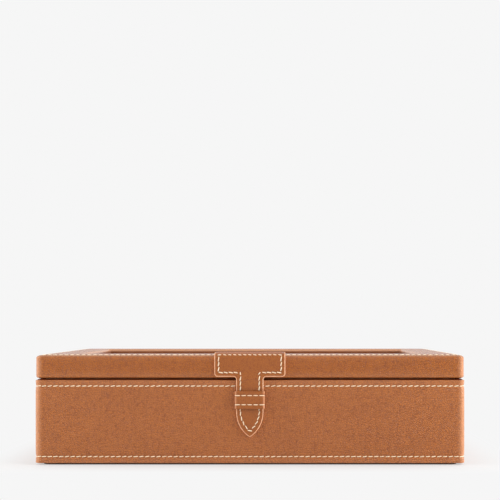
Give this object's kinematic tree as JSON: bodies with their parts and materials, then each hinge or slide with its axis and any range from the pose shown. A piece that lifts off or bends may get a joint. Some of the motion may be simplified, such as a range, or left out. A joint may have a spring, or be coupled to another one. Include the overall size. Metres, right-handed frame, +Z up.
{
  "type": "watch box",
  "caption": "Leather watch box: padded case with a divided tray of lift-out pillows, a glazed lid on stop hinges, and a strap that tucks into a keeper.",
  "frame": {"origin": "middle of the underside of the felt pad, where the box rests", "axes": "+X along the box to the right, +Y from the strapped front to the hinged rear, +Z up"},
  "size_m": [0.33, 0.2124, 0.0868],
  "materials": {
    "pad_felt": "dark brown felt",
    "board_fibre": "raw fibreboard, covered all over",
    "case_leather": "saddle-tan leather, fine pebbled grain, satin",
    "strap_leather": "the same tan leather, doubled, with pale painted edges",
    "lining_suede": "sand-coloured suede cloth",
    "pillow_suede": "sand-coloured suede cloth over foam",
    "glass": "clear, polished",
    "hinge_brass": "satin brass"
  },
  "bodies": {
    "case": {"base_pad": "pad_felt", "bottom_board": "board_fibre", "base_cover": "case_leather", "strap_keeper": "strap_leather", "floor_lining": "lining_suede", "long_divider": "lining_suede", "base_hinge_screws": "hinge_brass", "base_board_front": "board_fibre", "base_board_rear": "board_fibre", "base_board_left": "board_fibre", "base_board_right": "board_fibre", "base_liner_front": "lining_suede", "base_liner_rear": "lining_suede", "base_liner_left": "lining_suede", "base_liner_right": "lining_suede", "cross_divider_1": "lining_suede", "cross_divider_2": "lining_suede", "cross_divider_3": "lining_suede", "cross_divider_4": "lining_suede", "hinge_base_leaf_left": "hinge_brass", "hinge_base_leaf_right": "hinge_brass", "hinge_pin_left": "hinge_brass", "hinge_pin_right": "hinge_brass"},
    "lid": {"lid_cover": "case_leather", "glass_pane": "glass", "strap_tab": "strap_leather", "lid_hinge_screws": "hinge_brass", "lid_board_front": "board_fibre", "lid_board_rear": "board_fibre", "lid_board_left": "board_fibre", "lid_board_right": "board_fibre", "lid_rail_front": "board_fibre", "lid_rail_rear": "board_fibre", "lid_rail_left": "board_fibre", "lid_rail_right": "board_fibre", "lid_liner_front": "lining_suede", "lid_liner_rear": "lining_suede", "lid_liner_left": "lining_suede", "lid_liner_right": "lining_suede", "glass_bead_front": "lining_suede", "glass_bead_rear": "lining_suede", "glass_bead_left": "lining_suede", "glass_bead_right": "lining_suede", "hinge_lid_leaf_left": "hinge_brass", "hinge_lid_leaf_right": "hinge_brass"},
    "strap": {"strap_tail": "strap_leather"},
    "pillow_1": {"watch_pillow_1": "pillow_suede"},
    "pillow_2": {"watch_pillow_2": "pillow_suede"},
    "pillow_3": {"watch_pillow_3": "pillow_suede"},
    "pillow_4": {"watch_pillow_4": "pillow_suede"},
    "pillow_5": {"watch_pillow_5": "pillow_suede"},
    "pillow_6": {"watch_pillow_6": "pillow_suede"},
    "pillow_7": {"watch_pillow_7": "pillow_suede"},
    "pillow_8": {"watch_pillow_8": "pillow_suede"},
    "pillow_9": {"watch_pillow_9": "pillow_suede"},
    "pillow_10": {"watch_pillow_10": "pillow_suede"}
  },
  "joints": [
    {"name": "lid_hinge", "type": "hinge", "parent": "case", "child": "lid", "pos_m": [0, 0.1036, 0.066], "axis": [-1, 0, 0], "range_deg": [0, 95]},
    {"name": "strap_bend", "type": "hinge", "parent": "lid", "child": "strap", "pos_m": [0, -0.1027, 0.0646], "axis": [1, 0, 0], "range_deg": [0, 47.5]},
    {"name": "pillow_lift_1", "type": "slide", "parent": "case", "child": "pillow_1", "axis": [0, 0, 1], "range_m": [0, 0.024]},
    {"name": "pillow_lift_2", "type": "slide", "parent": "case", "child": "pillow_2", "axis": [0, 0, 1], "range_m": [0, 0.024]},
    {"name": "pillow_lift_3", "type": "slide", "parent": "case", "child": "pillow_3", "axis": [0, 0, 1], "range_m": [0, 0.024]},
    {"name": "pillow_lift_4", "type": "slide", "parent": "case", "child": "pillow_4", "axis": [0, 0, 1], "range_m": [0, 0.024]},
    {"name": "pillow_lift_5", "type": "slide", "parent": "case", "child": "pillow_5", "axis": [0, 0, 1], "range_m": [0, 0.024]},
    {"name": "pillow_lift_6", "type": "slide", "parent": "case", "child": "pillow_6", "axis": [0, 0, 1], "range_m": [0, 0.024]},
    {"name": "pillow_lift_7", "type": "slide", "parent": "case", "child": "pillow_7", "axis": [0, 0, 1], "range_m": [0, 0.024]},
    {"name": "pillow_lift_8", "type": "slide", "parent": "case", "child": "pillow_8", "axis": [0, 0, 1], "range_m": [0, 0.024]},
    {"name": "pillow_lift_9", "type": "slide", "parent": "case", "child": "pillow_9", "axis": [0, 0, 1], "range_m": [0, 0.024]},
    {"name": "pillow_lift_10", "type": "slide", "parent": "case", "child": "pillow_10", "axis": [0, 0, 1], "range_m": [0, 0.024]}
  ],
  "couplings": [
    {"joint": "strap_bend", "follows": "lid_hinge", "ratio": 0.5}
  ]
}
